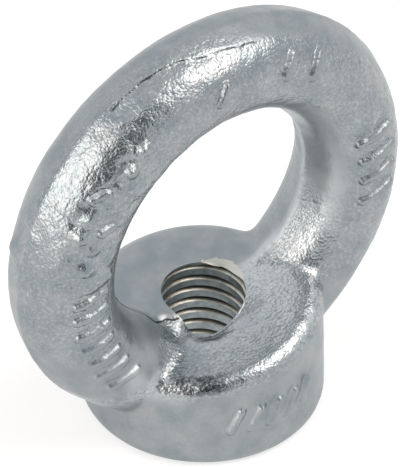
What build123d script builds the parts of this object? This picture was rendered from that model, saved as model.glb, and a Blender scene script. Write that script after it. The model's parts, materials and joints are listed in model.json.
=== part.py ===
from build123d import *
import os
from dataclasses import dataclass
from math import cos, radians, sin, sqrt, tan

# Drop-forged lifting eye nut, one piece of steel: a ring grown onto a round collar, with a
# threaded hole through the collar. Millimetres.
#
# The nut stands on its turned seat. The origin is the centre of the seat, +Z runs up the
# thread, and the ring lies in the XZ plane. That plane is also where the two forging dies
# meet, so each half is built on its own side of it and the two are joined there.

# ---- thread and its hole ----
thread_major = 12.0  # M12
thread_pitch = 1.75  # coarse
minor_drop_per_pitch = 1.0825  # minor diameter = major - this * pitch
top_lead_in_margin = 0.0  # countersink radius over the thread's, at the collar's top
seat_lead_in_margin = 0.3  # the same at the seat

# ---- ring ----
ring_mean_radius = 21.0
ring_centre_height = 27.8
ring_half_width = 6.2  # section, across the ring at the parting plane
crown_half_depth_top = 6.0  # section, parting plane to crown, at the top of the ring
crown_half_depth_foot = 7.0  # the same where the ring runs into the collar
flank_draft = 16.5  # degrees off the die's opening direction, beside the parting plane

# ---- collar ----
collar_foot_radius = 14.8
collar_wall_draft = 1.8  # degrees, narrowing upwards
foot_rounding = 1.35
back_top_height = 15.0  # on the thread's axis
front_top_height = 13.95
front_top_tilt = 9.65  # degrees, the front top climbs towards +X
parting_ramp_run = 4.2  # from the back top, at the parting plane, down to the front one
parting_ramp_half_width = 9.5  # its ends are inside the limbs' roots
parting_ramp_toe = 0.2  # how deep its lower edge lies under the front top
back_rim_rounding = 4.4
front_rim_rounding = 2.2
back_root_fillet = 1.5  # between ring and collar
front_root_fillet = 1.5

# ---- what follows from them ----
bore_radius = (thread_major - minor_drop_per_pitch * thread_pitch) / 2
top_lead_in_radius = thread_major / 2 + top_lead_in_margin
seat_lead_in_radius = thread_major / 2 + seat_lead_in_margin
ring_top_height = ring_centre_height + ring_mean_radius
ring_foot_height = ring_centre_height - ring_mean_radius
seat_plane = Plane.XY
# Bare wall between the foot's rounding and the height where the ring leaves the collar: the
# root fillets have to fit on it.
ring_outer_radius = ring_mean_radius + ring_half_width
root_height = ring_centre_height - sqrt(ring_outer_radius**2 - collar_foot_radius**2)
wall_below_root = root_height - foot_rounding
on_plane = 0.001  # an edge nearer the parting plane than this lies in it


@dataclass(frozen=True)
class DieHalf:
    """What one forging die gives its half of the nut."""

    side: int  # +1 fills y > 0, -1 fills y < 0
    top_height: float
    rim_rounding: float
    root_fillet: float
    top_tilt: float = 0.0


back_die = DieHalf(1, back_top_height, back_rim_rounding, back_root_fillet)
front_die = DieHalf(-1, front_top_height, front_rim_rounding, front_root_fillet, front_top_tilt)


def flank_end(crown_half_depth: float) -> tuple[float, float]:
    """Where the straight drafted flank meets the round crown, as (across, depth).

    The crown is the arc on the section's centre line that touches both flanks and reaches
    the given depth.
    """
    lean_cos = cos(radians(flank_draft))
    lean_sin = sin(radians(flank_draft))
    crown_radius = (ring_half_width * lean_cos - crown_half_depth * lean_sin) / (1 - lean_sin)
    crown_centre = crown_half_depth - crown_radius
    return crown_radius * lean_cos, crown_centre + crown_radius * lean_sin


forged_halves = []
for die in (back_die, front_die):
    # Half ring: the section runs down one limb, from the top of the ring to its foot inside
    # the collar, and deepens on the way. The other limb is its mirror image. On both planes
    # x points out of the ring and y points into the die.
    ring_top = Plane(origin=(0, 0, ring_top_height), x_dir=(0, 0, 1), z_dir=(-die.side, 0, 0))
    ring_foot = Plane(origin=(0, 0, ring_foot_height), x_dir=(0, 0, -1), z_dir=(die.side, 0, 0))
    with BuildPart() as ring_half:
        with BuildLine() as limb_path:
            ThreePointArc(
                (0, 0, ring_top_height),
                (ring_mean_radius, 0, ring_centre_height),
                (0, 0, ring_foot_height),
            )
        for section_plane, crown_half_depth in (
            (ring_top, crown_half_depth_top),
            (ring_foot, crown_half_depth_foot),
        ):
            across, depth = flank_end(crown_half_depth)
            with BuildSketch(section_plane):
                with BuildLine():
                    Polyline(
                        (-across, depth),
                        (-ring_half_width, 0),
                        (ring_half_width, 0),
                        (across, depth),
                    )
                    ThreePointArc((across, depth), (0, crown_half_depth), (-across, depth))
                make_face()
        sweep(path=limb_path.line, multisection=True)
        mirror(about=Plane.YZ)
        split(bisect_by=seat_plane, keep=Keep.TOP)  # a low ring is faced off with the seat

    # Half collar: a drafted drum, rounded at its foot, cut off at its top and rounded there.
    with BuildPart() as collar_half:
        with BuildSketch(Plane.XZ) as collar_section:
            blank_height = 2 * die.top_height
            wall_lean = tan(radians(collar_wall_draft)) * blank_height
            with BuildLine():
                Polyline(
                    (0, 0),
                    (collar_foot_radius, 0),
                    (collar_foot_radius - wall_lean, blank_height),
                    (0, blank_height),
                    close=True,
                )
            make_face()
            foot_corner = collar_section.vertices().group_by(Axis.Y)[0].sort_by(Axis.X)[-1]
            fillet(foot_corner, foot_rounding)
        revolve(axis=Axis.Z, revolution_arc=180 * die.side)
        tilt = radians(die.top_tilt)
        collar_top = Plane(origin=(0, 0, die.top_height), z_dir=(-sin(tilt), 0, cos(tilt)))
        split(bisect_by=collar_top, keep=Keep.BOTTOM)
        rim = collar_half.faces().sort_by(Axis.Z)[-1].edges()
        rim = rim.filter_by(lambda edge: abs(edge.position_at(0.5).Y) > on_plane)
        fillet(rim, die.rim_rounding)

    # The two run into each other through a fillet all round each limb's root.
    with BuildPart() as forged_half:
        add(ring_half.part)
        add(collar_half.part)
        roots = forged_half.edges(Select.NEW)
        roots = roots.filter_by(lambda edge: abs(edge.position_at(0.5).Y) > on_plane)
        fillet(roots, min(die.root_fillet, wall_below_root))
    forged_halves.append(forged_half.part)

# ---- ramp: between the parting plane, where the back top ends, and the front top ----
with BuildPart() as parting_ramp:
    ramp_rise = parting_ramp_half_width * tan(radians(front_top_tilt))
    ramp_toe_height = front_top_height - parting_ramp_toe
    for ramp_end in (-1, 1):
        with BuildSketch(Plane.YZ.offset(ramp_end * parting_ramp_half_width)):
            with BuildLine():
                Polyline(
                    (0, back_top_height),
                    (-parting_ramp_run, ramp_toe_height + ramp_end * ramp_rise),
                    (0, ramp_toe_height - ramp_rise),
                    close=True,
                )
            make_face()
    loft(ruled=True)

# ---- the nut: halves and ramp, with the tapping hole bored down through the eye ----
with BuildPart() as lifting_eye_nut:
    for forged_half_part in forged_halves:
        add(forged_half_part)
    add(parting_ramp.part)
    with BuildSketch(Plane.XZ):
        collar_height = max(back_top_height, front_top_height)
        top_lead_in_depth = top_lead_in_radius - bore_radius  # both countersinks are 90 degrees
        seat_lead_in_depth = seat_lead_in_radius - bore_radius
        with BuildLine():
            Polyline(
                (0, -foot_rounding),
                (seat_lead_in_radius, -foot_rounding),
                (seat_lead_in_radius, 0),
                (bore_radius, seat_lead_in_depth),
                (bore_radius, collar_height - top_lead_in_depth),
                (top_lead_in_radius, collar_height),
                (top_lead_in_radius, ring_centre_height),
                (0, ring_centre_height),
                close=True,
            )
        make_face()
    revolve(axis=Axis.Z, mode=Mode.SUBTRACT)

lifting_eye_nut.part.label = "lifting_eye_nut"
os.makedirs("parts", exist_ok=True)
export_step(lifting_eye_nut.part, "parts/lifting_eye_nut.step")
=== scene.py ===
"""Drop-forged lifting eye nut, M12, zinc plated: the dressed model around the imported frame."""

import json
import logging
import math
from dataclasses import dataclass, field
from enum import Enum

import bmesh
import bpy
import numpy as np
from mathutils import Matrix, Vector

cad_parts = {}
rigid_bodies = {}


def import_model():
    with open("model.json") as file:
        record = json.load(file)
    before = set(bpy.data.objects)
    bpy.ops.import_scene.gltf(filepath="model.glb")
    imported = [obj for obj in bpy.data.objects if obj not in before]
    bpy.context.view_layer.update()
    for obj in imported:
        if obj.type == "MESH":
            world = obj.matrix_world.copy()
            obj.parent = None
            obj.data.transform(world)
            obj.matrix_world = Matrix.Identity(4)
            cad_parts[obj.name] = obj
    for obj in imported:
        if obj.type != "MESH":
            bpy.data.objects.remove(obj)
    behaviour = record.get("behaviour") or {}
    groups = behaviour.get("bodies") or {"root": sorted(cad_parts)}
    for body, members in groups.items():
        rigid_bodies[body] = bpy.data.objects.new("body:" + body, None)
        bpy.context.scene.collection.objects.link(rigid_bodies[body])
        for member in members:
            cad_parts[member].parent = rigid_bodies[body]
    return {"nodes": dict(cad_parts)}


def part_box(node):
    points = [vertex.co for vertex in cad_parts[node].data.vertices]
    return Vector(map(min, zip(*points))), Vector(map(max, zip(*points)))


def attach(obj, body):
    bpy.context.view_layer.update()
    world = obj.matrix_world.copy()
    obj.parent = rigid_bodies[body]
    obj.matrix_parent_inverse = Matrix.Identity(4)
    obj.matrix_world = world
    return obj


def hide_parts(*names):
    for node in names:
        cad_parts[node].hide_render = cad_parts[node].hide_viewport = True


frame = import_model()
log = logging.getLogger("lifting_eye_nut")

MM = 0.001
NODE = "lifting_eye_nut"
RING_HEIGHT = 27.8  # millimetres, from the seat up to the ring's own axis
WHITE = "#FFFFFF"
LAMP_TINT = "#FFF1E7"  # a little warm, so that highlights on the blue-grey plating come out neutral

# Unless a line says otherwise, the sizes of the nut below are in millimetres and degrees, with the origin
# at the middle of its seat, x to the right along the ring, y to the back and z up.


# ---------------------------------------------------------------- helpers


def linear(hex_colour: str) -> tuple[float, float, float, float]:
    """Turns an sRGB hex colour into linear RGBA.

    Args:
        hex_colour: The colour as six hex digits, with or without a leading hash.

    Returns:
        Linear red, green, blue and an alpha of 1.
    """
    digits = hex_colour.lstrip("#")
    channels = [int(digits[i : i + 2], 16) / 255 for i in (0, 2, 4)]
    red, green, blue = (c / 12.92 if c <= 0.04045 else ((c + 0.055) / 1.055) ** 2.4 for c in channels)
    return red, green, blue, 1.0


def add_node(
    tree: bpy.types.NodeTree, kind: str, settings: dict | None = None, **links: bpy.types.NodeSocket
) -> bpy.types.Node:
    """Adds a shader node, sets its properties and sockets, and links what feeds it.

    Args:
        tree: The node tree that gets the node.
        kind: The node's type name without its Shader prefix, such as TexNoise.
        settings: Properties by name, or input sockets by label or number, with their values.
        links: Input sockets by label, with underscores for spaces, or by number after an underscore,
            each with the output that feeds it.

    Returns:
        The new node.
    """
    node = tree.nodes.new("ShaderNode" + kind)
    for name, value in (settings or {}).items():
        if isinstance(name, str) and name in node.bl_rna.properties and not name[0].isupper():
            setattr(node, name, value)
        else:
            node.inputs[name].default_value = value
    for name, source in links.items():
        key = int(name[1:]) if name[0] == "_" else name.replace("_", " ")
        tree.links.new(source, node.inputs[key])
    return node


def smoothstep(low: float, high: float, value: np.ndarray) -> np.ndarray:
    """Eases from 0 at low to 1 at high.

    Args:
        low: Where the result leaves 0.
        high: Where the result reaches 1; may be under low.
        value: The values to ease.

    Returns:
        The eased values.
    """
    t = np.clip((value - low) / (high - low), 0.0, 1.0)
    return t * t * (3.0 - 2.0 * t)


@dataclass(frozen=True)
class RandomField:
    """A smooth random field, from -1 to 1, whose swells are about one cell wide."""

    seed: int
    cell: float

    def at(self, points: np.ndarray) -> np.ndarray:
        """The field's value at each point.

        Args:
            points: Positions in millimetres, one row each.

        Returns:
            One value per point.
        """
        table = np.random.default_rng(self.seed).uniform(-1.0, 1.0, 4096)
        scaled = points / self.cell + self.seed * 0.37
        corner = np.floor(scaled).astype(np.int64)
        offset = scaled - corner
        ease = offset * offset * offset * (offset * (offset * 6.0 - 15.0) + 10.0)
        total = np.zeros(len(points))
        for step in np.ndindex(2, 2, 2):
            index = corner + np.array(step)
            mixed = (index[:, 0] * 73856093) ^ (index[:, 1] * 19349663) ^ (index[:, 2] * 83492791)
            weight = np.prod(np.where(np.array(step) == 1, ease, 1.0 - ease), axis=1)
            total += weight * table[mixed & 4095]
        return total


# ---------------------------------------------------------------- meshes


def read_vectors(items: bpy.types.bpy_prop_collection, name: str) -> np.ndarray:
    """Reads one vector from each of a mesh's vertices, vertex normals or faces.

    Args:
        items: What the vectors are read from.
        name: The vector's name on each of them.

    Returns:
        The vectors, one row each.
    """
    flat = np.empty(len(items) * 3, np.float32)
    items.foreach_get(name, flat)
    return flat.reshape(-1, 3).astype(float)


def mesh_points(mesh: bpy.types.Mesh) -> np.ndarray:
    """The mesh's vertex positions in millimetres, one row each."""
    return read_vectors(mesh.vertices, "co") / MM


def mesh_normals(mesh: bpy.types.Mesh) -> np.ndarray:
    """The mesh's vertex normals, one row each."""
    return read_vectors(mesh.vertex_normals, "vector")


def set_attribute(mesh: bpy.types.Mesh, name: str, values: np.ndarray, domain: str = "POINT") -> None:
    """Stores one number per vertex or face for the material to read.

    Args:
        mesh: The mesh that gets the attribute.
        name: The attribute's name.
        values: One value per vertex or face.
        domain: POINT for vertices or FACE for faces.
    """
    layer = mesh.attributes.new(name, "FLOAT", domain)
    layer.data.foreach_set("value", values.astype(np.float32))


def move_points(mesh: bpy.types.Mesh, points: np.ndarray) -> None:
    """Sets the mesh's vertex positions from millimetres.

    Args:
        mesh: The mesh to change.
        points: The new positions in millimetres, one row each.
    """
    mesh.vertices.foreach_set("co", (points * MM).astype(np.float32).ravel())
    mesh.update()


def new_object(name: str, mesh: bpy.types.Mesh) -> bpy.types.Object:
    """Puts a mesh into the scene as an object.

    Args:
        name: The object's name.
        mesh: Its mesh.

    Returns:
        The new object.
    """
    made = bpy.data.objects.new(name, mesh)
    bpy.context.scene.collection.objects.link(made)
    return made


def solid(name: str, points: list, faces: list) -> bpy.types.Object:
    """Makes an object from points in millimetres and faces.

    Args:
        name: The object's name.
        points: The vertices in millimetres.
        faces: Vertex numbers, face by face, counted round from outside.

    Returns:
        The new object.
    """
    mesh = bpy.data.meshes.new(name)
    mesh.from_pydata([tuple(c * MM for c in p) for p in points], [], faces)
    mesh.update()
    return new_object(name, mesh)


def apply_modifiers(target: bpy.types.Object) -> None:
    """Bakes an object's modifiers into its mesh and removes them.

    Args:
        target: The object to bake.
    """
    evaluated = target.evaluated_get(bpy.context.evaluated_depsgraph_get())
    mesh = bpy.data.meshes.new_from_object(evaluated)
    target.modifiers.clear()
    target.data = mesh


def remesh(target: bpy.types.Object, voxel: float, smoothing: int = 0) -> None:
    """Rebuilds an object's mesh from even voxels and eases the steps between them.

    Args:
        target: The object to rebuild.
        voxel: The voxel size in millimetres.
        smoothing: How often the surface is eased, or 0 for not at all.
    """
    modifier = target.modifiers.new("voxels", "REMESH")
    modifier.mode = "VOXEL"
    modifier.voxel_size = voxel * MM
    if smoothing:
        ease = target.modifiers.new("ease", "SMOOTH")
        ease.factor = 0.5
        ease.iterations = smoothing
    apply_modifiers(target)


def combine(
    target: bpy.types.Object, tool: bpy.types.Object, operation: str, solver: str = "MANIFOLD"
) -> None:
    """Cuts a closed mesh from another, or joins the two, and deletes the tool.

    Args:
        target: The object that stays.
        tool: The object that cuts or is joined.
        operation: DIFFERENCE or UNION.
        solver: How Blender works it out: MANIFOLD is quick, EXACT takes faces that lie on each other.
    """
    modifier = target.modifiers.new("combine", "BOOLEAN")
    modifier.operation = operation
    modifier.solver = solver
    modifier.object = tool
    apply_modifiers(target)
    bpy.data.objects.remove(tool)


def surface_of_revolution(name: str, profile: list[tuple[float, float]], segments: int) -> bpy.types.Object:
    """Spins a profile that starts and ends on the Z axis into a closed mesh.

    Args:
        name: The object's name.
        profile: Radius and height pairs in millimetres, from the lower end on the axis to the upper one.
        segments: How many steps go round.

    Returns:
        The new object.
    """
    angles = np.arange(segments) * 2 * math.pi / segments
    rings = profile[1:-1]
    points = [(0.0, 0.0, profile[0][1])]
    points += [(r * math.cos(a), r * math.sin(a), z) for r, z in rings for a in angles]
    points.append((0.0, 0.0, profile[-1][1]))
    faces = []
    for i in range(segments):
        j = (i + 1) % segments
        faces.append((0, 1 + j, 1 + i))
        for k in range(len(rings) - 1):
            low, high = 1 + k * segments, 1 + (k + 1) * segments
            faces.append((low + i, low + j, high + j, high + i))
        last = 1 + (len(rings) - 1) * segments
        faces.append((last + i, last + j, len(points) - 1))
    return solid(name, points, faces)


@dataclass
class TappedThread:
    """The internal M12 x 1.75 thread, right-handed, as the threaded rod that cuts it."""

    groove_radius: float = 5.66
    crest_radius: float = 5.10
    pitch: float = 1.75
    start: float = -3.0
    turns: int = 13
    segments: int = 96
    crest_share: float = 0.54
    groove_share: float = 0.10
    flank_steps: int = 3
    run_out: float = 0.45
    run_out_inset: float = 0.1

    def profile(self) -> list[tuple[float, float]]:
        """Works out the outline of one pitch of the rod.

        Returns:
            The share of the pitch and the radius at each row, from the foot of a crest upwards.
        """
        flank = (1.0 - self.crest_share - self.groove_share) / 2
        depth = self.groove_radius - self.crest_radius
        rows = [(0.0, self.crest_radius), (self.crest_share, self.crest_radius)]
        for step in range(1, self.flank_steps + 1):
            t = step / self.flank_steps
            rows.append((self.crest_share + flank * t, self.crest_radius + depth * t))
        for step in range(self.flank_steps):
            t = step / self.flank_steps
            rows.append((1.0 - flank * (1.0 - t), self.groove_radius - depth * t))
        return rows

    def cutter(self, burr: "LipBurr") -> bpy.types.Object:
        """Builds the rod as a closed mesh whose rows climb with the helix.

        Args:
            burr: The burr along the mouth, under which the rod runs out.

        Returns:
            The rod, which reaches past both ends of the bore.
        """
        rows = self.profile()
        count = len(rows)
        top = count * (self.turns - 1)
        points = []
        for level in range(top + count + 1):
            share, radius = rows[level % count]
            for i in range(self.segments):
                angle = 2 * math.pi * i / self.segments
                rise = self.pitch * (level // count + share + i / self.segments)
                z = self.start + rise
                turn = math.degrees(angle) - (360.0 if angle > math.pi else 0.0)
                if z > burr.height(np.array([turn]))[0] - self.run_out:
                    reach = min(radius, self.crest_radius - self.run_out_inset)
                else:
                    reach = radius
                points.append((reach * math.cos(angle), reach * math.sin(angle), z))

        def at(level: int, i: int) -> int:
            """The point at a row and a step round, where a full turn lands one pitch higher."""
            return (level + count) * self.segments if i == self.segments else level * self.segments + i

        faces = []
        for level in range(top):
            for i in range(self.segments):
                faces.append((at(level, i), at(level, i + 1), at(level + 1, i + 1), at(level + 1, i)))
        low_loop = [at(0, i) for i in range(self.segments)] + [at(level, 0) for level in range(count, 0, -1)]
        high_loop = [at(top, i) for i in range(self.segments)] + [at(top + k, 0) for k in range(count, 0, -1)]
        foot, head = len(points), len(points) + 1
        points.append((0.0, 0.0, self.start - self.pitch))
        points.append((0.0, 0.0, self.start + self.pitch * (self.turns + 1)))
        for loop, centre, flip in ((low_loop, foot, True), (high_loop, head, False)):
            for a, b in zip(loop, loop[1:] + loop[:1]):
                faces.append((b, a, centre) if flip else (a, b, centre))
        keep = sorted({i for f in faces for i in f})
        index = {old: new for new, old in enumerate(keep)}
        faces = [tuple(index[i] for i in face) for face in faces]
        return solid("thread_cutter", [points[i] for i in keep], faces)


class Surface(Enum):
    """Which surface a raised bar stands on."""

    RING_FACE = "ring_face"
    COLLAR_WALL = "collar_wall"


@dataclass(frozen=True)
class RaisedBar:
    """One plain raised bar. Its ends are given as x, or the way round the collar's wall, and height."""

    surface: Surface
    start: tuple[float, float]
    end: tuple[float, float]
    width: float = 1.35
    height: float = 0.52


def ring_bars(
    side: int, levels: tuple[float, ...], reach: float, half: float, lean: float
) -> tuple[RaisedBar, ...]:
    """A column of equal raised bars up one limb of the ring.

    Args:
        side: -1 for the left limb, 1 for the right one.
        levels: The height of each bar's middle, in millimetres.
        reach: The ring radius that the bars' middles follow.
        half: Half of each bar's length.
        lean: How far each bar rises to the right, in degrees.

    Returns:
        The bars.
    """
    rise, run = half * math.sin(math.radians(lean)), half * math.cos(math.radians(lean))
    bars = []
    for z in levels:
        x = side * math.sqrt(reach**2 - (z - RING_HEIGHT) ** 2)
        bars.append(RaisedBar(Surface.RING_FACE, (x - run, z - rise), (x + run, z + rise)))
    return tuple(bars)


def wall_bars(places: tuple[float, ...], low: float, high: float) -> tuple[RaisedBar, ...]:
    """A row of equal slanted bars on the collar's wall.

    Args:
        places: Each bar's way round the wall from the front, in millimetres.
        low: The height at which each bar starts.
        high: The height at which it ends.

    Returns:
        The bars.
    """
    slant, width, height = 0.7, 1.2, 0.58
    bars = []
    for place in places:
        ends = (place - slant, low), (place + slant, high)
        bars.append(RaisedBar(Surface.COLLAR_WALL, *ends, width, height))
    return tuple(bars)


@dataclass(frozen=True)
class Seam:
    """A line across the surface through a few points, such as the run of a crack or a bar's spine."""

    stations: tuple[tuple[float, float], ...]

    def offset(self, u: np.ndarray, v: np.ndarray) -> np.ndarray:
        """How far each point lies to the left of the line, or with a minus sign to its right.

        Args:
            u: The points' first coordinate, in millimetres.
            v: The points' second coordinate, in millimetres.

        Returns:
            The distance in millimetres, with its sign.
        """
        best, sign = np.full(len(u), 1e3), np.ones(len(u))
        for (ua, va), (ub, vb) in zip(self.stations, self.stations[1:]):
            du, dv = ub - ua, vb - va
            t = np.clip(((u - ua) * du + (v - va) * dv) / (du * du + dv * dv), 0, 1)
            away = np.hypot(u - ua - t * du, v - va - t * dv)
            side = np.where(du * (v - va) - dv * (u - ua) >= 0, 1.0, -1.0)
            sign = np.where(away < best, side, sign)
            best = np.minimum(best, away)
        return best * sign


@dataclass(frozen=True)
class Bump:
    """A small round swelling of the surface."""

    centre: tuple[float, float, float]
    spread: float
    height: float


@dataclass(frozen=True)
class LipBurr:
    """The thin burr that the tap threw up along the front of the bore's mouth."""

    first_turn: float = -143.0
    last_turn: float = -52.0
    # The mouth's edge as pairs of angle round the bore and height: torn down at the front and left.
    lip: tuple[tuple[float, float], ...] = (
        (-180.0, 15.0), (-172.0, 14.9), (-164.0, 14.6), (-154.0, 14.35), (-151.5, 13.8), (-149.0, 13.2),
        (-147.0, 12.7), (-141.0, 12.3), (-131.0, 12.2), (-113.0, 12.3), (-101.0, 12.8), (-90.0, 13.3),
        (-83.0, 13.65), (-75.0, 14.05), (-68.0, 14.35), (-60.0, 14.75), (-50.0, 14.9), (-30.0, 15.0),
        (180.0, 15.0),
    )
    reach: float = 5.20
    thickness: float = 0.20
    thin_share: float = 0.3
    rise: float = 0.05
    steps: int = 72
    sides: int = 10

    def height(self, turn: np.ndarray) -> np.ndarray:
        """The lip's height in millimetres at each angle round the bore, in degrees."""
        angles, heights = zip(*self.lip)
        return np.interp(turn, angles, heights)

    def build(self) -> bpy.types.Object:
        """Builds the burr as a closed bead that thins out to both ends.

        Returns:
            The bead, to be joined to the body before the bore is cut.
        """
        first, last = self.first_turn, self.last_turn
        points, faces = [], []
        for step in range(self.steps + 1):
            share = step / self.steps
            turn = first + (last - first) * share
            swell = math.sin(math.pi * share) ** 0.5
            thin = self.thickness * (self.thin_share + (1 - self.thin_share) * swell)
            angle = math.radians(turn)
            z = float(self.height(np.array([turn]))[0]) + self.rise
            for side in range(self.sides):
                around = 2 * math.pi * side / self.sides
                r = self.reach + thin * math.cos(around)
                points.append((r * math.cos(angle), r * math.sin(angle), z + thin * math.sin(around)))
        for step in range(self.steps):
            for side in range(self.sides):
                a, b = step * self.sides + side, step * self.sides + (side + 1) % self.sides
                faces.append((a, b, b + self.sides, a + self.sides))
        faces.append(tuple(reversed(range(self.sides))))
        faces.append(tuple(self.steps * self.sides + side for side in range(self.sides)))
        return solid("lip_burr", points, faces)


@dataclass
class ForgedBody:
    """The ring and its collar: one forging, reshaped from the frame's solid at a finer mesh.

    The roll is the front top's fall towards the torn lip of the bore, the sink is the lead-in that the
    drill left on one side of the bore's mouth, and the flash is what the dies' trimming left on the ring.
    """

    voxel: float = 0.28
    skin_easing: int = 6
    kept_share: float = 0.62
    wall_radius: float = 14.5
    back_top: float = 15.0
    front_top: float = 13.95
    front_top_slope: float = 0.17
    roll_spread: float = 1.5
    plug_radius: float = 6.45
    plug_foot: float = 0.02
    shoulder_height: float = 0.35
    feet_easing: int = 45
    sink_centre: tuple[float, float] = (2.60, 1.00)
    sink_radius: float = 3.24
    sink_slope: float = 0.62
    sink_segments: int = 64
    seat_lead_in: float = 6.35
    bar_edge: float = 0.46
    sharp_angle: float = 42.0
    thread: TappedThread = field(default_factory=TappedThread)
    burr: LipBurr = LipBurr()
    bars: tuple[RaisedBar, ...] = (
        ring_bars(-1, (29.2, 26.8, 24.2, 21.8, 19.4, 17.0, 14.6), 21.2, 1.9, 12.0)
        + ring_bars(1, (33.4, 30.4, 27.4, 24.4), 21.0, 2.1, 16.0)
        + wall_bars((-5.4, -2.9, -0.4, 2.1, 4.6), 5.4, 8.2)
        # Single bars over the top of the ring, and two among the knobs.
        + (
            RaisedBar(Surface.RING_FACE, (-2.9, 49.4), (-1.6, 51.2), 1.2, 0.6),
            RaisedBar(Surface.RING_FACE, (6.8, 49.0), (8.3, 50.4), 1.9, 0.5),
            RaisedBar(Surface.RING_FACE, (10.8, 47.2), (12.3, 48.7), 1.9, 0.5),
            RaisedBar(Surface.RING_FACE, (-19.8, 38.6), (-18.2, 38.9), 1.3, 0.45),
            RaisedBar(Surface.RING_FACE, (-19.9, 42.5), (-18.4, 43.2), 1.4, 0.42),
        )
    )
    # Pairs of the angle about the ring's axis and the y at which the trimmed flash ends.
    flash_edge: tuple[tuple[float, float], ...] = (
        (60.0, -3.6), (79.0, -3.3), (86.0, -3.0), (99.0, -1.9), (106.0, -1.2), (113.0, -0.7),
        (150.0, -0.6), (175.0, -0.4),
    )
    # The crack across the collar's top, as x and y from the ring's left limb to the bore.
    crack: Seam = Seam(
        (
            (-9.2, 7.0), (-9.3, 5.4), (-9.45, 4.0), (-9.35, 2.6), (-9.3, 1.1), (-8.9, 0.5), (-8.5, -0.1),
            (-8.2, -0.75), (-7.75, -1.15), (-7.1, -0.9), (-6.4, -0.95), (-5.6, -1.55), (-4.9, -1.75),
        )
    )
    # A swelling on the ring's outline and two inside the eye, then the knobs down its left side.
    bumps: tuple[Bump, ...] = (
        Bump((-25.9, 2.6, 33.4), 1.2, 0.55),
        Bump((14.4, 1.3, 32.4), 0.9, 0.30),
        Bump((15.2, 2.0, 29.0), 1.3, 0.28),
        Bump((-13.4, -5.6, 47.4), 0.75, 0.75),
        Bump((-15.4, -5.8, 45.3), 0.85, 0.80),
        Bump((-16.9, -5.9, 43.6), 0.70, 0.50),
        Bump((-18.6, -5.6, 41.4), 0.95, 0.60),
        Bump((-20.9, -5.3, 40.4), 0.90, 0.55),
        Bump((-21.9, -5.2, 38.2), 0.85, 0.60),
        Bump((-21.2, -6.2, 36.6), 0.80, 0.45),
        Bump((-21.9, -6.2, 33.9), 0.95, 0.70),
        Bump((-19.0, -6.4, 34.2), 0.60, 0.40),
        Bump((-18.9, -6.3, 31.9), 0.55, 0.40),
    )

    def plug(self, side: int) -> bpy.types.Object:
        """Half of the cylinder that fills the solid's bore before the thread is cut.

        Args:
            side: 1 for the half behind the parting plane, -1 for the one in front.

        Returns:
            The half cylinder, whose top lies level with the collar's.
        """
        angles = np.linspace(0, math.pi, 49)
        outline = [(self.plug_radius * math.cos(a), side * self.plug_radius * math.sin(a)) for a in angles]
        outline = outline[::side]
        count = len(outline)
        points = [(x, y, self.plug_foot) for x, y in outline]
        points += [(x, y, self.back_top if side > 0 else self.front_level(x)) for x, y in outline]
        faces = [tuple(reversed(range(count))), tuple(range(count, 2 * count))]
        faces += [(i, (i + 1) % count, (i + 1) % count + count, i + count) for i in range(count)]
        return solid("plug", points, faces)

    def front_level(self, x: float | np.ndarray) -> float | np.ndarray:
        """The height of the collar's tilted front top at x."""
        return self.front_top + self.front_top_slope * x

    def roll_lip(self, mesh: bpy.types.Mesh) -> None:
        """Rolls the front top down to the bore's torn lip, and lifts the shoulder on the right.

        Args:
            mesh: The body's mesh.
        """
        points = mesh_points(mesh)
        x, y, z = points.T
        reach, turn = np.hypot(x, y), np.degrees(np.arctan2(y, x))
        spread = self.roll_spread * (1 - 0.4 * smoothstep(-138.0, -150.0, turn))
        roll = np.exp(-((np.maximum(reach - self.thread.crest_radius, 0) / spread) ** 2))
        roll *= smoothstep(6.5, 11.0, z) * (z < 17.0) * (y < 0)
        shoulder = self.shoulder_height * np.exp(-(((y - 0.5) / 0.9) ** 2)) * (z > 13.0)
        shoulder *= smoothstep(6.2, 8.5, x) * smoothstep(14.3, 13.0, np.hypot(x, y)) * (z < 17.0)
        points[:, 2] += shoulder
        points[:, 2] += (self.burr.height(turn) - points[:, 2]) * roll
        move_points(mesh, points)

    def ring_place(self, points: np.ndarray) -> tuple[np.ndarray, np.ndarray]:
        """Each point's angle in degrees and radius in millimetres about the ring's own axis."""
        x, _, z = points.T
        return np.degrees(np.arctan2(z - RING_HEIGHT, x)) % 360, np.hypot(x, z - RING_HEIGHT)

    def bar_field(self, points: np.ndarray) -> tuple[np.ndarray, np.ndarray]:
        """Where the raised bars stand.

        Args:
            points: Positions in millimetres, one row each.

        Returns:
            How far the bars lift the surface at each point, in millimetres, and 1 on them and close by.
        """
        x, y, z = points.T
        around = np.arctan2(x, -y) * self.wall_radius
        # The bars' edges wander a little, and their height changes with wear.
        on_wall = (y < -8.0) & (np.hypot(x, y) > 13.4) & (z < 12.0)
        on_ring = (y < -2.0) & ~on_wall
        wander = 0.10 * RandomField(21, 1.2).at(points) + 0.05 * RandomField(22, 0.6).at(points)
        worn = 0.95 + 0.2 * RandomField(23, 1.9).at(points)
        lift, near = np.zeros(len(points)), np.zeros(len(points))
        for bar in self.bars:
            ring = bar.surface is Surface.RING_FACE
            away = np.abs(Seam((bar.start, bar.end)).offset(x if ring else around, z)) + wander * ring
            half, here = bar.width / 2, on_ring if ring else on_wall
            edge = 1 - smoothstep(half - self.bar_edge, half + 0.08, away)
            lift = np.maximum(lift, here * worn * bar.height * edge)
            near = np.maximum(near, here * smoothstep(half + 0.75, half + 0.25, away))
        return lift, near

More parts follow.
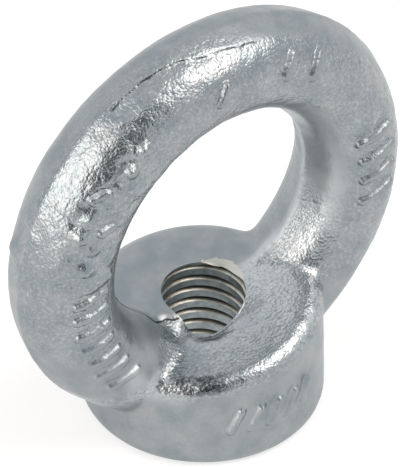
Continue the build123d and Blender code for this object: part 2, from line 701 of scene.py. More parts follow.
    def raise_bars(self, mesh: bpy.types.Mesh) -> None:
        """Halves the faces where bars, the crack and the torn lip lie, and lifts the bars.

        Args:
            mesh: The body's mesh.
        """
        points = mesh_points(mesh)
        x, y, z = points.T
        torn = (np.hypot(x + 4.6, y + 2.4) < 2.2) & (z > 11.0) & (z < 16.0)
        fine = (self.bar_field(points)[1] > 0) | (np.abs(self.crack_offset(points)) < 0.6) | torn
        edit = bmesh.new()
        edit.from_mesh(mesh)
        edges = [edge for edge in edit.edges if fine[edge.verts[0].index] and fine[edge.verts[1].index]]
        bmesh.ops.subdivide_edges(edit, edges=edges, cuts=1, use_grid_fill=True, smooth=0.6)
        bmesh.ops.triangulate(edit, faces=edit.faces)
        edit.to_mesh(mesh)
        edit.free()
        mesh.update()
        points, normals = mesh_points(mesh), mesh_normals(mesh)
        points += normals * self.bar_field(points)[0][:, None]
        move_points(mesh, points)

    def flash_offset(self, points: np.ndarray) -> np.ndarray:
        """How far behind the trimmed flash's edge each point lies, in millimetres.

        Args:
            points: Positions in millimetres, one row each.

        Returns:
            The distance in millimetres, with a minus sign in front of the edge.
        """
        angle, _ = self.ring_place(points)
        angles, depths = zip(*self.flash_edge)
        wander = 0.14 * RandomField(6, 1.1).at(points) + 0.25 * RandomField(7, 4.0).at(points)
        return points[:, 1] - np.interp(angle, angles, depths) - wander

    def flash_weight(self, points: np.ndarray) -> np.ndarray:
        """Where the trimmed flash's edge shows: on the outside of the ring's upper left.

        Args:
            points: Positions in millimetres, one row each.

        Returns:
            1 where it shows and 0 where it was ground away.
        """
        angle, reach = self.ring_place(points)
        fade = 1 - 0.95 * smoothstep(114, 134, angle)
        return fade * smoothstep(72, 92, angle) * smoothstep(176, 160, angle) * smoothstep(23.5, 25.0, reach)

    def crack_offset(self, points: np.ndarray) -> np.ndarray:
        """How far to either side of the crack left of the bore each point of the collar's top lies.

        Args:
            points: Positions in millimetres, one row each.

        Returns:
            The distance in millimetres, with a minus sign on one side.
        """
        x, y, z = points.T
        wander = 0.12 * RandomField(8, 0.7).at(points)
        offset = self.crack.offset(x + wander, y - wander)
        return np.where((z > 12.0) & (z < 17.5) & (x < -4.8), offset, 5.0)

    def grain_field(self, points: np.ndarray) -> np.ndarray:
        """Where the coarse skin lies that the die left.

        Args:
            points: Positions in millimetres, one row each.

        Returns:
            One value per point, from 0 on smooth skin to 1 on coarse.
        """
        x, y, z = points.T
        angle, reach = self.ring_place(points)
        behind = self.flash_offset(points)
        # Coarse skin lies in front of the parting line, and in a band behind the trimmed flash.
        edge = np.where(z < 16.0, y - np.clip(0.15 * x - 0.2, -1.4, 1.2), behind)
        front = smoothstep(0.2, -0.2, edge)
        inner = np.maximum(smoothstep(16.2, 18.8, reach), smoothstep(27.0, 21.0, z))
        # It is fainter left of the crack, by the torn lip, at both feet of the ring and on the wall.
        smooth_side = smoothstep(0.1, -0.9, x + 8.2 - 0.75 * (y + 2.6))
        hollow = 1 - 0.9 * smooth_side * smoothstep(20.0, 17.0, z) * smoothstep(11.0, 12.5, z)
        torn = 1 - 0.3 * smoothstep(2.6, 1.6, np.hypot(x + 5.3, y + 2.6)) * (z > 11.0) * (z < 16.0)
        low_right = 1 - 0.10 * smoothstep(15.5, 17.0, z) * smoothstep(28.0, 24.0, z) * (x > 6.0)
        below_rim = self.front_level(x) - z
        wall = 1 - 0.75 * smoothstep(1.5, 2.6, below_rim) * smoothstep(12.4, 13.4, np.hypot(x, y))
        low_left = 1 - 0.35 * smoothstep(186, 200, angle) * (x < -9.0) * smoothstep(12.0, 14.0, z)
        band = smoothstep(2.6, 1.4, behind) * smoothstep(80, 96, angle) * smoothstep(184, 168, angle)
        back_skin = (0.30 + 0.7 * band) * (1 - front) * (z > 15.6)
        field = np.clip(front * inner * hollow * wall * torn * low_left * low_right + back_skin, 0, 1)
        lift, near = self.bar_field(points)
        return field * (1 - 0.55 * near * (lift > 0.02))

    def shade_fleck_field(self, points: np.ndarray) -> np.ndarray:
        """Where painted shade dims the highlights with dark flecks: along the collar's rim and by the lip.

        Args:
            points: Positions in millimetres, one row each.

        Returns:
            One value per point, from 0 on clean skin to 1 on full painted shade.
        """
        x, y, z = points.T
        turn = np.degrees(np.arctan2(x, -y))
        # Painted shade, full on the rim's left front, a little on the ridge and the tear, thin on the right.
        along = smoothstep(-62.0, -54.0, turn) * smoothstep(-18.0, -34.0, turn)
        rim = smoothstep(1.6, 1.0, self.front_level(x) - z) * smoothstep(12.2, 12.9, np.hypot(x, y))
        field = along * rim * (z < 14.0) * smoothstep(-0.3, 0.2, RandomField(24, 1.3).at(points) + 0.35)
        ridge = 0.45 * smoothstep(2.4, 1.2, np.linalg.norm(points - np.array((-9.4, -6.6, 12.9)), axis=1))
        tear = 0.48 * smoothstep(2.1, 1.1, np.linalg.norm(points - np.array((-6.1, -2.5, 14.0)), axis=1))
        thin = 0.34 * smoothstep(36.0, 52.0, turn) * smoothstep(112.0, 92.0, turn) * rim * (z < 15.0)
        field = np.maximum(field, thin)
        return np.maximum(field, np.maximum(ridge, tear))

    def painted_light_field(self, points: np.ndarray) -> np.ndarray:
        """Where painted light brightens the skin in hollows.

        Args:
            points: Positions in millimetres, one row each.

        Returns:
            One value per point: 0 outside, 1 deep inside and a little over on the right of the eye.
        """
        x, y, z = points.T
        _, reach = self.ring_place(points)
        # Painted light on the inside of the eye, the inner side of the ring's left foot, and on the
        # front top of the collar.
        eye = 0.8 * smoothstep(18.0, 15.4, reach) * smoothstep(15.6, 19.0, z) * smoothstep(1.2, -0.6, y)
        eye *= 1 + 0.5 * smoothstep(8.0, 12.0, x)
        left = smoothstep(-9.0, -12.0, x) * smoothstep(-17.0, -14.5, x)
        foot = left * smoothstep(20.0, 16.0, z) * smoothstep(8.5, 11.0, z) * (y < 0.5)
        right = smoothstep(5.0, 8.0, x)
        top = smoothstep(16.6 + 2.5 * right, 15.4 + 1.5 * right, z) * smoothstep(10.5, 12.0, z)
        top *= smoothstep(0.8, -0.4, y - np.clip(0.15 * x, -1, 1)) * smoothstep(-7.5, -4.0, x)
        top *= smoothstep(14.6, 13.2, np.hypot(x, y)) * (0.45 + 0.5 * smoothstep(0.0, 7.0, x))
        return np.clip(eye + 0.7 * foot + top, 0, 1.3)

    def relief(self, mesh: bpy.types.Mesh) -> None:
        """Gives the smooth mesh the unevenness, the lumps and the crack of a forged skin.

        Args:
            mesh: The body's mesh.
        """
        points, normals = mesh_points(mesh), mesh_normals(mesh)
        _, y, z = points.T
        angle, reach = self.ring_place(points)
        grain = self.grain_field(points)
        # Long swells all over, then finer ones that are higher on the coarse skin.
        depth = 0.09 * RandomField(11, 7.0).at(points) + 0.035 * RandomField(12, 3.2).at(points)
        depth += (0.012 + 0.05 * grain) * RandomField(13, 1.3).at(points)
        depth += (0.004 + 0.022 * grain) * RandomField(14, 0.75).at(points)
        # Lumps on the front of the ring's upper left.
        patch = smoothstep(118, 134, angle) * smoothstep(192, 172, angle)
        patch *= smoothstep(18.2, 20.0, reach) * smoothstep(26.4, 24.4, reach) * (y < -1.5)
        depth += patch * (0.26 * RandomField(15, 1.8).at(points) + 0.13 * RandomField(16, 0.95).at(points))
        # The step down behind the trimmed flash, and the crack.
        behind = self.flash_offset(points)
        recess = smoothstep(0.12, -0.12, behind) * smoothstep(-3.2, -0.3, behind)
        depth -= 0.16 * recess * self.flash_weight(points)
        crack = self.crack_offset(points)
        depth -= 0.05 * np.exp(-((crack / 0.25) ** 2))
        for bump in self.bumps:
            away = np.linalg.norm(points - np.array(bump.centre), axis=1)
            depth += bump.height * np.exp(-((away / bump.spread) ** 2))
        points += normals * (depth * smoothstep(0.0, 1.2, z))[:, None]
        move_points(mesh, points)

    def ease_feet(self, body: bpy.types.Object) -> None:
        """Softens the hard lines where the ring's feet and the ramp run into the collar's front top.

        Args:
            body: The body.
        """
        points = mesh_points(body.data)
        x, y, z = points.T
        band = smoothstep(9.0, 11.0, z) * smoothstep(19.5, 17.0, z) * smoothstep(-0.7, -1.5, y)
        left = smoothstep(-3.2, -4.2, x) * smoothstep(-1.2, -2.4, y) * smoothstep(-8.6, -6.0, y)
        left = np.maximum(left, smoothstep(-8.6, -9.6, x))
        weight = band * np.maximum(left, smoothstep(6.2, 8.0, x))
        weight *= smoothstep(14.6, 13.6, np.hypot(x, y))
        group = body.vertex_groups.new(name="feet")
        for index in np.nonzero(weight > 0.02)[0]:
            group.add([int(index)], float(weight[index]), "REPLACE")
        ease = body.modifiers.new("feet", "SMOOTH")
        ease.vertex_group = group.name
        ease.factor = 0.5
        ease.iterations = self.feet_easing
        apply_modifiers(body)
        body.vertex_groups.clear()

    def build(self) -> bpy.types.Object:
        """Builds the body at the frame's place.

        Returns:
            The body as one closed mesh.
        """
        body = new_object("lifting_eye_nut_body", frame["nodes"][NODE].data.copy())
        body.data.materials.clear()
        for side in (1, -1):
            combine(body, self.plug(side), "UNION", "EXACT")
        remesh(body, self.voxel)
        self.roll_lip(body.data)
        remesh(body, self.voxel, self.skin_easing)
        self.ease_feet(body)
        self.relief(body.data)
        thin = body.modifiers.new("thin", "DECIMATE")
        thin.ratio = self.kept_share
        apply_modifiers(body)
        self.raise_bars(body.data)
        combine(body, self.burr.build(), "UNION")
        combine(body, self.bore(), "DIFFERENCE")
        combine(body, self.countersink(), "DIFFERENCE")
        combine(body, self.thread.cutter(self.burr), "DIFFERENCE")
        self.mark(body.data)
        body.data.set_sharp_from_angle(angle=math.radians(self.sharp_angle))
        return body

    def bore(self) -> bpy.types.Object:
        """Builds the cutter for the bore's plain core and its 90 degree lead-in at the seat.

        Returns:
            The cutter, which reaches past both ends of the bore.
        """
        core, wide, past, top = self.thread.crest_radius - 0.03, self.seat_lead_in, 2.0, 18.0
        profile = [(0, -past), (wide + past, -past), (wide, 0), (core, wide - core), (core, top), (0, top)]
        return surface_of_revolution("bore_cutter", profile, self.thread.segments)

    def countersink(self) -> bpy.types.Object:
        """Builds the cutter for the lead-in at the top, which the drill left on one side only.

        Returns:
            The cutter, a cone that narrows downwards.
        """
        inward, outward = 2, 0.6
        low, high = self.back_top - inward * self.sink_slope, self.back_top + outward * self.sink_slope
        foot, head = self.sink_radius - inward, self.sink_radius + outward
        cone = surface_of_revolution(
            "countersink_cutter", [(0, low), (foot, low), (head, high), (0, high)], self.sink_segments
        )
        points = mesh_points(cone.data)
        points[:, 0] += self.sink_centre[0]
        points[:, 1] += self.sink_centre[1]
        move_points(cone.data, points)
        return cone

    def mark(self, mesh: bpy.types.Mesh) -> None:
        """Stores on the finished mesh what the material reads.

        Args:
            mesh: The body's mesh.
        """
        points = mesh_points(mesh)
        set_attribute(mesh, "grain", self.grain_field(points))
        # Painted light: where the material brightens the skin in hollows.
        set_attribute(mesh, "hollow", self.painted_light_field(points))
        # Painted shade: where dark flecks dim the lamps' highlights.
        set_attribute(mesh, "scale", self.shade_fleck_field(points))
        # The flash's and the crack's offsets also place the painted shadow lines along their steps.
        far = 5.0  # stands for anywhere away from the flash's edge
        behind = np.where(self.flash_weight(points) > 0.4, self.flash_offset(points), far)
        set_attribute(mesh, "flash", np.clip(behind, -far, far))
        set_attribute(mesh, "crack", self.crack_offset(points))
        # Faces: what the countersink's cone cut, and what is thread, under the lip or on the bore's wall.
        x, y, z = (read_vectors(mesh.polygons, "center") / MM).T
        reach = np.hypot(x, y)
        cone = np.hypot(x - self.sink_centre[0], y - self.sink_centre[1]) - self.sink_radius
        cone -= (z - self.back_top) / self.sink_slope
        cut = (np.abs(cone) < 0.05) & (z > 13.2) & (z < self.back_top + 0.5)
        turn = np.degrees(np.arctan2(y, x))
        lip = self.burr.height(turn)
        crest = self.thread.crest_radius + 0.02
        steep = read_vectors(mesh.polygons, "normal")[:, 2] < 0.5
        thread = (reach < self.thread.groove_radius + 0.01) & (z > 0.4) & (z < 15.6)
        thread &= ((z < lip - 0.4) | ((reach < crest) & steep)) & ~cut
        set_attribute(mesh, "bore", thread, "FACE")
        set_attribute(mesh, "cut", cut | ((z < 1.3) & (reach < 6.4) & ~thread), "FACE")


@dataclass(frozen=True)
class ZincPlate:
    """Bright zinc electroplate over forged steel.

    The plating lies thin on the die skin: it gives a cool blue-grey metal whose shine breaks up on the
    grain of the forging, with random darker specks and painted shade in the creases between the grains,
    painted glints on the coarse skin and a warmer tint on the cut thread. Painted shade dims the
    highlights on the rim, the ridge and the tear with dark flecks, painted light brightens the hollows,
    and painted shadow lines run along the steps at the crack and the trimmed flash. The thread has a
    painted highlight along the edges of its crests and painted shade deep in its grooves.
    """

    skin: str = "#8B959A"
    bright: str = "#9EA2A5"
    # Painted light for the hollows.
    hollow: str = "#D3D9DC"
    # Painted shade for the grain's creases, also the colour of the random dark specks.
    speck_and_crease_shade: str = "#6F767A"
    # Painted glints: pale flecks on the coarse skin.
    fleck_and_glint: str = "#D0D5D7"
    # Painted shade, as dark flecks that dim highlights.
    scale: str = "#4B4F52"
    # Painted shadow lines along the steps at the crack and the trimmed flash.
    painted_step_shadow: str = "#34393C"
    cut: str = "#C4C4BF"
    # Painted highlight along the edges of the thread's crests.
    thread_edge_highlight: str = "#C1BFB6"
    thread_crest: str = "#B4BEC2"
    thread_flank: str = "#A6A59D"
    # Painted shade deep in the thread's grooves.
    thread_groove_shade: str = "#828989"
    thread_stain: str = "#77796F"
    skin_roughness: float = 0.40
    grain_roughness: float = 0.25
    thread_roughness: float = 0.32
    # Millimetres. The grain of a blasted forging is about 0.1 to 0.2 mm: it is drawn coarser, so it shows.
    grain_cell: float = 0.36
    fine_cell: float = 0.26
    fleck_cell: float = 0.38
    mottle_cell: float = 3.0
    stain_cell: float = 1.1
    bump_depth: float = 0.10
    # Radii between which the thread's colour goes from crest to groove.
    thread_inner: float = 5.08
    thread_outer: float = 5.66

    def material(self) -> bpy.types.Material:
        """Builds the material.

        Returns:
            The material, which reads the attributes that the body carries.
        """
        made = empty_material("zinc_plated_forged_steel")
        tree = made.node_tree
        place = add_node(tree, "TexCoord").outputs["Object"]
        marks = {
            name: add_node(tree, "Attribute", {"attribute_name": name}).outputs["Fac"]
            for name in ("grain", "hollow", "scale", "flash", "crack", "bore", "cut")
        }
        coarse = self.coarse_height(tree, place)
        tone = self.skin_tone(tree, place, coarse, marks)
        depth = self.thread_depth(tree, place)
        tone = add_node(
            tree,
            "Mix",
            {"data_type": "RGBA"},
            Factor=marks["bore"],
            _6=tone,
            _7=self.thread_tone(tree, place, depth),
        ).outputs[2]
        tone = add_node(
            tree, "Mix", {"data_type": "RGBA", 7: linear(self.cut)}, Factor=marks["cut"], _6=tone
        ).outputs[2]
        rough = add_node(
            tree,
            "MapRange",
            {"To Min": self.skin_roughness, "To Max": self.grain_roughness},
            Value=marks["grain"],
        ).outputs["Result"]
        rough = add_node(
            tree, "Mix", {"data_type": "FLOAT", 3: self.thread_roughness}, Factor=marks["bore"], _2=rough
        ).outputs[0]
        shader = add_node(
            tree,
            "BsdfPrincipled",
            {"Metallic": 1.0},
            Base_Color=tone,
            Roughness=rough,
            Normal=self.bumps(tree, place, coarse, marks),
        )
        add_node(tree, "OutputMaterial", Surface=shader.outputs[0])
        return made

    def coarse_height(self, tree: bpy.types.NodeTree, place: bpy.types.NodeSocket) -> bpy.types.NodeSocket:
        """Low domes with creases between them: the grain that oxide and grit pressed into the hot skin.

        Args:
            tree: The material's node tree.
            place: The position on the object.

        Returns:
            The height, near 1 on a dome and lower in the creases.
        """
        bend = add_node(
            tree, "TexNoise", {"Scale": 1 / (0.8 * MM), "Detail": 2.0}, Vector=place
        ).outputs["Color"]
        bend = add_node(tree, "VectorMath", {"operation": "SCALE", "Scale": 0.18 * MM}, _0=bend).outputs[0]
        bent = add_node(tree, "VectorMath", {"operation": "ADD"}, _0=place, _1=bend).outputs[0]
        cells = add_node(
            tree, "TexVoronoi", {"Scale": 1 / (self.grain_cell * MM)}, Vector=bent
        ).outputs["Distance"]
        square = add_node(tree, "Math", {"operation": "MULTIPLY"}, _0=cells, _1=cells).outputs[0]
        return add_node(tree, "Math", {"operation": "SUBTRACT", 0: 1.0}, _1=square).outputs[0]

    def skin_tone(
        self,
        tree: bpy.types.NodeTree,
        place: bpy.types.NodeSocket,
        coarse: bpy.types.NodeSocket,
        marks: dict[str, bpy.types.NodeSocket],
    ) -> bpy.types.NodeSocket:
        """The plating's colour: patches of two greys, painted light in hollows, painted glints, random dark
        specks and painted shade in the grain's creases, painted shade flecks and painted shadow lines.

        Args:
            tree: The material's node tree.
            place: The position on the object.
            coarse: The coarse grain's height.
            marks: The body's attributes by name.

        Returns:
            The colour.
        """
        mottle = add_node(
            tree, "TexNoise", {"Scale": 1 / (self.mottle_cell * MM), "Detail": 4.0}, Vector=place
        ).outputs["Fac"]
        mottle = add_node(
            tree, "MapRange", {"From Min": 0.35, "From Max": 0.68}, Value=mottle
        ).outputs["Result"]
        tone = add_node(
            tree, "Mix", {"data_type": "RGBA", 6: linear(self.skin), 7: linear(self.bright)}, Factor=mottle
        ).outputs[2]
        # Painted light: the hollows are brightened towards a pale grey.
        hollow = add_node(tree, "Math", {"operation": "MULTIPLY", 1: 0.6}, _0=marks["hollow"]).outputs[0]
        tone = add_node(
            tree, "Mix", {"data_type": "RGBA", 7: linear(self.hollow)}, Factor=hollow, _6=tone
        ).outputs[2]
        # Painted shade: the creases between the grain's domes are darkened; random dark specks are joined in.
        specks_and_crease_shade = add_node(
            tree,
            "MapRange",
            {"From Min": 0.62, "From Max": 0.30, "To Min": 0.0, "To Max": 0.30},
            Value=coarse,
        ).outputs["Result"]
        fleck_and_glint = add_node(
            tree, "TexNoise", {"Scale": 1 / (self.fleck_cell * MM), "Detail": 3.0}, Vector=place
        ).outputs["Fac"]
        speck = add_node(
            tree,
            "MapRange",
            {"From Min": 0.50, "From Max": 0.68, "To Min": 0.0, "To Max": 0.36},
            Value=fleck_and_glint,
        ).outputs["Result"]
        # Painted glints: pale flecks scattered over the coarse skin.
        light = add_node(
            tree,
            "MapRange",
            {"From Min": 0.46, "From Max": 0.32, "To Min": 0.0, "To Max": 0.26},
            Value=fleck_and_glint,
        ).outputs["Result"]
        light = add_node(tree, "Math", {"operation": "MULTIPLY"}, _0=light, _1=marks["grain"]).outputs[0]
        tone = add_node(
            tree, "Mix", {"data_type": "RGBA", 7: linear(self.fleck_and_glint)}, Factor=light, _6=tone
        ).outputs[2]
        specks_and_crease_shade = add_node(tree, "Math", {"operation": "MAXIMUM"}, _0=specks_and_crease_shade, _1=speck).outputs[0]
        specks_and_crease_shade = add_node(tree, "Math", {"operation": "MULTIPLY"}, _0=specks_and_crease_shade, _1=marks["grain"]).outputs[0]
        tone = add_node(
            tree, "Mix", {"data_type": "RGBA", 7: linear(self.speck_and_crease_shade)}, Factor=specks_and_crease_shade, _6=tone
        ).outputs[2]
        # Painted shade: dark flecks that dim the highlights on the rim, the ridge and the tear.
        shade_fleck_mix = add_node(
            tree,
            "MapRange",
            {"From Min": 0.40, "From Max": 0.56, "To Min": 0.15, "To Max": 0.9},
            Value=fleck_and_glint,
        ).outputs["Result"]
        shade_fleck_mix = add_node(tree, "Math", {"operation": "MULTIPLY"}, _0=shade_fleck_mix, _1=marks["scale"]).outputs[0]
        tone = add_node(
            tree, "Mix", {"data_type": "RGBA", 7: linear(self.scale)}, Factor=shade_fleck_mix, _6=tone
        ).outputs[2]
        # Painted shadow lines along the steps.
        return add_node(
            tree,
            "Mix",
            {"data_type": "RGBA", 7: linear(self.painted_step_shadow)},
            Factor=self.step_shadow_mask(tree, place, marks),
            _6=tone,
        ).outputs[2]

    def step_shadow_mask(
        self, tree: bpy.types.NodeTree, place: bpy.types.NodeSocket, marks: dict[str, bpy.types.NodeSocket]
    ) -> bpy.types.NodeSocket:
        """Where the painted shadow lines lie, along steps in the surface: on the crack beside the bore and,
        broken up, along the trimmed flash.

        Args:
            tree: The material's node tree.
            place: The position on the object.
            marks: The body's attributes by name.

        Returns:
            0 beside the shadow lines, up to 1 on them.
        """
        crack = add_node(tree, "Math", {"operation": "ABSOLUTE"}, _0=marks["crack"]).outputs[0]
        crack = add_node(
            tree,
            "MapRange",
            {"From Min": 0.16, "From Max": 0.08, "To Min": 0.0, "To Max": 0.95},
            Value=crack,
        ).outputs["Result"]
        aside = add_node(tree, "Math", {"operation": "ABSOLUTE"}, _0=marks["flash"]).outputs[0]
        flash = add_node(
            tree, "MapRange", {"From Min": 0.12, "From Max": 0.03, "To Min": 0.0, "To Max": 1.0}, Value=aside
        ).outputs["Result"]
        gaps = add_node(
            tree, "TexNoise", {"Scale": 1 / (2.2 * MM), "Detail": 1.0}, Vector=place
        ).outputs["Fac"]
        gaps = add_node(
            tree, "MapRange", {"From Min": 0.46, "From Max": 0.56, "To Min": 0.0, "To Max": 0.8}, Value=gaps
        ).outputs["Result"]
        flash = add_node(tree, "Math", {"operation": "MULTIPLY"}, _0=flash, _1=gaps).outputs[0]
        return add_node(tree, "Math", {"operation": "MAXIMUM"}, _0=crack, _1=flash).outputs[0]

    def thread_depth(self, tree: bpy.types.NodeTree, place: bpy.types.NodeSocket) -> bpy.types.NodeSocket:
        """How deep in the thread a point lies, from its distance to the bore's axis.

        Args:
            tree: The material's node tree.
            place: The position on the object.

        Returns:
            0 on the thread's crests and 1 in its grooves.
        """
        flat = add_node(
            tree, "VectorMath", {"operation": "MULTIPLY", 1: (1.0, 1.0, 0.0)}, _0=place
        ).outputs[0]
        reach = add_node(tree, "VectorMath", {"operation": "LENGTH"}, _0=flat).outputs["Value"]
        span = {"From Min": self.thread_inner * MM, "From Max": self.thread_outer * MM}
        return add_node(tree, "MapRange", span, Value=reach).outputs["Result"]

    def thread_tone(
        self, tree: bpy.types.NodeTree, place: bpy.types.NodeSocket, depth: bpy.types.NodeSocket
    ) -> bpy.types.NodeSocket:
        """The thread's colour: grey crests with a painted highlight along their edges, painted shade in the
        grooves, and oil stains.

        Args:
            tree: The material's node tree.
            place: The position on the object.
            depth: How deep in the thread a point lies.

        Returns:
            The colour.
        """
        ramp = add_node(tree, "ValToRGB", Fac=depth)
        stops = ramp.color_ramp.elements
        stops[0].position, stops[0].color = 0.03, linear(self.thread_crest)
        stops[1].position, stops[1].color = 1.0, linear(self.thread_groove_shade)
        # The pale stops by the crests are a painted highlight, and the darkening towards the grooves is
        # painted shade.
        between = ((0.07, self.thread_edge_highlight), (0.26, self.thread_edge_highlight), (0.40, self.thread_flank))
        for position, colour in between:
            stop = stops.new(position)
            stop.color = linear(colour)
        blots = {"Scale": 1 / (self.stain_cell * MM), "Detail": 4.0, "Roughness": 0.65}
        stains = add_node(tree, "TexNoise", blots, Vector=place)
        stains = add_node(
            tree,
            "MapRange",
            {"From Min": 0.46, "From Max": 0.66, "To Min": 0.0, "To Max": 0.55},
            Value=stains.outputs["Fac"],
        ).outputs["Result"]
        return add_node(
            tree,
            "Mix",
            {"data_type": "RGBA", 7: linear(self.thread_stain)},
            Factor=stains,
            _6=ramp.outputs["Color"],
        ).outputs[2]

    def bumps(
        self,
        tree: bpy.types.NodeTree,
        place: bpy.types.NodeSocket,
        coarse: bpy.types.NodeSocket,
        marks: dict[str, bpy.types.NodeSocket],
    ) -> bpy.types.NodeSocket:
        """The finest relief: grain on coarse skin, faint orange peel elsewhere, almost none on the thread.

        Args:
            tree: The material's node tree.
            place: The position on the object.
            coarse: The coarse grain's height.
            marks: The body's attributes by name.

        Returns:
            The bent normal.
        """
        fine = add_node(
            tree,
            "TexNoise",
            {"Scale": 1 / (self.fine_cell * MM), "Detail": 3.0, "Roughness": 0.6},
            Vector=place,
        ).outputs["Fac"]
        height = add_node(tree, "Math", {"operation": "MULTIPLY_ADD", 1: 0.8}, _0=fine, _2=coarse).outputs[0]
        strength = add_node(
            tree, "MapRange", {"To Min": 0.08, "To Max": 0.44}, Value=marks["grain"]
        ).outputs["Result"]
        quiet = add_node(
            tree, "MapRange", {"To Min": 1.0, "To Max": 0.05}, Value=marks["bore"]
        ).outputs["Result"]
        strength = add_node(tree, "Math", {"operation": "MULTIPLY"}, _0=strength, _1=quiet).outputs[0]
        return add_node(
            tree, "Bump", {"Distance": self.bump_depth * MM}, Height=height, Strength=strength
        ).outputs["Normal"]


# ---------------------------------------------------------------- studio


def direction(azimuth: float, elevation: float) -> Vector:
    """Works out the unit vector towards a place in the sky.

    Args:
        azimuth: Degrees from the front to the right.
        elevation: Degrees above the floor.

    Returns:
        The vector.
    """
    a, e = math.radians(azimuth), math.radians(elevation)
    return Vector((math.sin(a) * math.cos(e), -math.cos(a) * math.cos(e), math.sin(e)))


def face_centre(rig: bpy.types.Object, centre: Vector, towards: Vector, distance: float) -> None:
    """Stands a lamp or a card at a distance from a point and turns it to face the point.

    Args:
        rig: The lamp or card.
        centre: The point that it faces.
        towards: The unit vector from the point to it.
        distance: How far off it stands, in metres.
    """
    rig.location = centre + towards * distance
    rig.rotation_euler = towards.to_track_quat("Z", "Y").to_euler()


def rectangle(name: str, width: float, height: float) -> bpy.types.Object:
    """Makes a flat rectangle about its own middle.

    Args:
        name: The object's name.
        width: Its width in metres.
        height: Its height in metres.

    Returns:
        The new object.
    """
    x, y = width / 2, height / 2
    mesh = bpy.data.meshes.new(name)
    mesh.from_pydata([(-x, -y, 0), (x, -y, 0), (x, y, 0), (-x, y, 0)], [], [(0, 1, 2, 3)])
    return new_object(name, mesh)


def empty_material(name: str) -> bpy.types.Material:
    """Makes a material with no nodes in it yet.

    Args:
        name: The material's name.

    Returns:
        The new material.
    """
    made = bpy.data.materials.new(name)
    made.use_nodes = True
    made.node_tree.nodes.clear()
    return made


@dataclass(frozen=True)
class Softbox:
    """A rectangular studio lamp that faces the object. Its sizes are in metres."""

    name: str
    azimuth: float
    elevation: float
    distance: float
    width: float
    height: float
    radiance: float

    def build(self, centre: Vector) -> None:
        """Places the lamp.

        Args:
            centre: The point that the lamp faces.
        """
        lamp = bpy.data.lights.new(self.name, "AREA")
        lamp.shape = "RECTANGLE"
        lamp.color = linear(LAMP_TINT)[:3]
        lamp.size, lamp.size_y = self.width, self.height
        lamp.energy = math.pi * self.width * self.height * self.radiance
        rig = bpy.data.objects.new(self.name, lamp)
        bpy.context.scene.collection.objects.link(rig)
        face_centre(rig, centre, direction(self.azimuth, self.elevation), self.distance)


@dataclass(frozen=True)
class DarkCard:
    """The grey card behind the camera, which bright metal mirrors. Its sizes are in metres."""

    azimuth: float = -40.0
    elevation: float = 33.0
    distance: float = 1.1
    width: float = 0.78
    height: float = 0.90
    tone: str = "#8C9092"

    def build(self, centre: Vector) -> None:
        """Places the card, where only reflections see it.

        Args:
            centre: The point that the card faces.
        """
        card = rectangle("dark_card", self.width, self.height)
        face_centre(card, centre, direction(self.azimuth, self.elevation), self.distance)
        card.visible_camera = card.visible_diffuse = card.visible_shadow = card.visible_transmission = False
        material = empty_material("grey_cloth")
        tree = material.node_tree
        cloth = add_node(tree, "BsdfDiffuse", {"Color": linear(self.tone)}).outputs[0]
        add_node(tree, "OutputMaterial", Surface=cloth)
        card.data.materials.append(material)


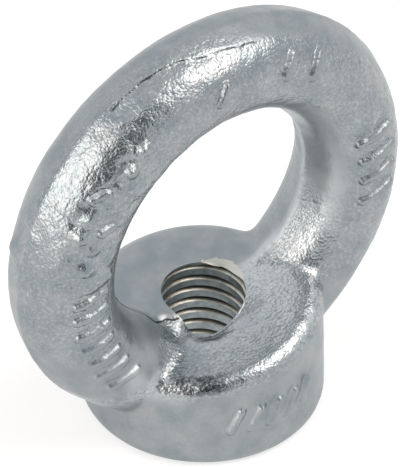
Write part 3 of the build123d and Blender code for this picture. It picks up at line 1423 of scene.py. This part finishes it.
@dataclass
class Studio:
    """Pale floor, white surroundings, two softboxes, a grey card and the camera.

    Places and sizes are in metres and angles in degrees. The sensor is in millimetres, and the focal
    length is so many times its width.
    """

    camera_azimuth: float = -37.911
    camera_elevation: float = 41.308
    camera_roll: float = 1.261
    camera_distance: float = 0.709806
    aim_height: float = 0.021
    aim_right: float = -0.000526
    aim_up: float = 0.002256
    focal_widths: float = 12.848
    sensor: float = 36.0
    fill: float = 0.55
    floor_side: float = 12.0
    floor_gap: float = 0.00005
    floor_grey: str = "#CBCBCB"
    floor_glow: float = 0.58
    softboxes: tuple[Softbox, ...] = (
        Softbox("key_softbox", 43.0, 57.0, 0.7, 0.46, 0.36, 3.9),
        Softbox("side_softbox", -90.0, 25.0, 0.7, 0.48, 0.60, 2.6),
    )
    card: DarkCard = DarkCard()

    def white_seen(self, tree: bpy.types.NodeTree) -> bpy.types.NodeSocket:
        """Tells the rays that see the background from those that only light the object.

        Args:
            tree: The node tree of the world or the floor.

        Returns:
            1 for rays that see the background directly, in a reflection or through glass.
        """
        path = add_node(tree, "LightPath")
        seen = path.outputs["Is Camera Ray"]
        for ray in ("Is Glossy Ray", "Is Transmission Ray"):
            seen = add_node(tree, "Math", {"operation": "MAXIMUM"}, _0=seen, _1=path.outputs[ray]).outputs[0]
        return seen

    def build_world(self) -> None:
        """White surroundings, at a plain level as a light."""
        world = bpy.data.worlds.new("studio")
        bpy.context.scene.world = world
        world.use_nodes = True
        tree = world.node_tree
        tree.nodes.clear()
        fill = add_node(tree, "Background", {"Color": linear(WHITE), "Strength": self.fill}).outputs[0]
        white = add_node(tree, "Background", {"Color": linear(WHITE), "Strength": 1.0}).outputs[0]
        mixed = add_node(tree, "MixShader", _0=self.white_seen(tree), _1=fill, _2=white).outputs[0]
        add_node(tree, "OutputWorld", Surface=mixed)

    def build_floor(self) -> None:
        """A wide pale floor that keeps a soft shadow."""
        floor = rectangle("studio_floor", self.floor_side, self.floor_side)
        floor.location.z = -self.floor_gap
        material = empty_material("pale_floor")
        tree = material.node_tree
        paint = add_node(tree, "BsdfDiffuse", {"Color": linear(self.floor_grey)}).outputs[0]
        glow = add_node(tree, "Emission", {"Color": linear(WHITE), "Strength": self.floor_glow}).outputs[0]
        none = add_node(tree, "Emission", {"Strength": 0.0}).outputs[0]
        seen = add_node(tree, "MixShader", _0=self.white_seen(tree), _1=none, _2=glow).outputs[0]
        both = add_node(tree, "AddShader", _0=paint, _1=seen).outputs[0]
        add_node(tree, "OutputMaterial", Surface=both)
        floor.data.materials.append(material)

    def build_camera(self) -> None:
        """The camera, with the long lens that such a small part is pictured with."""
        back = direction(self.camera_azimuth, self.camera_elevation)
        azimuth = math.radians(self.camera_azimuth)
        right = Vector((math.cos(azimuth), math.sin(azimuth), 0.0))
        up = back.cross(right)
        roll = math.radians(self.camera_roll)
        rolled_right = right * math.cos(roll) + up * math.sin(roll)
        rolled_up = up * math.cos(roll) - right * math.sin(roll)
        aim = Vector((0, 0, self.aim_height)) + rolled_right * self.aim_right + rolled_up * self.aim_up
        lens = bpy.data.cameras.new("camera")
        lens.sensor_width = self.sensor
        lens.lens = self.focal_widths * self.sensor
        lens.clip_start, lens.clip_end = 0.01, 20.0
        rig = bpy.data.objects.new("camera", lens)
        bpy.context.scene.collection.objects.link(rig)
        axes = Matrix((rolled_right, rolled_up, back)).transposed().to_4x4()
        rig.matrix_world = Matrix.Translation(aim + back * self.camera_distance) @ axes
        bpy.context.scene.camera = rig

    def build(self) -> None:
        """Builds the whole studio."""
        bpy.context.scene.view_settings.view_transform = "Standard"
        self.build_world()
        self.build_floor()
        low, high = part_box(NODE)
        centre = (Vector(low) + Vector(high)) / 2
        for softbox in self.softboxes:
            softbox.build(centre)
        self.card.build(centre)
        self.build_camera()


def main() -> None:
    """Builds the studio and the dressed part."""
    logging.basicConfig(level=logging.INFO, format="%(name)s: %(message)s")
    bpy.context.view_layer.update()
    Studio().build()
    log.info("studio built")
    body = ForgedBody().build()
    body.data.materials.clear()
    body.data.materials.append(ZincPlate().material())
    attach(body, "root")
    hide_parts(NODE)
    log.info("lifting_eye_nut_body: %d triangles", sum(len(face.vertices) - 2 for face in body.data.polygons))


if __name__ == "__main__":
    main()
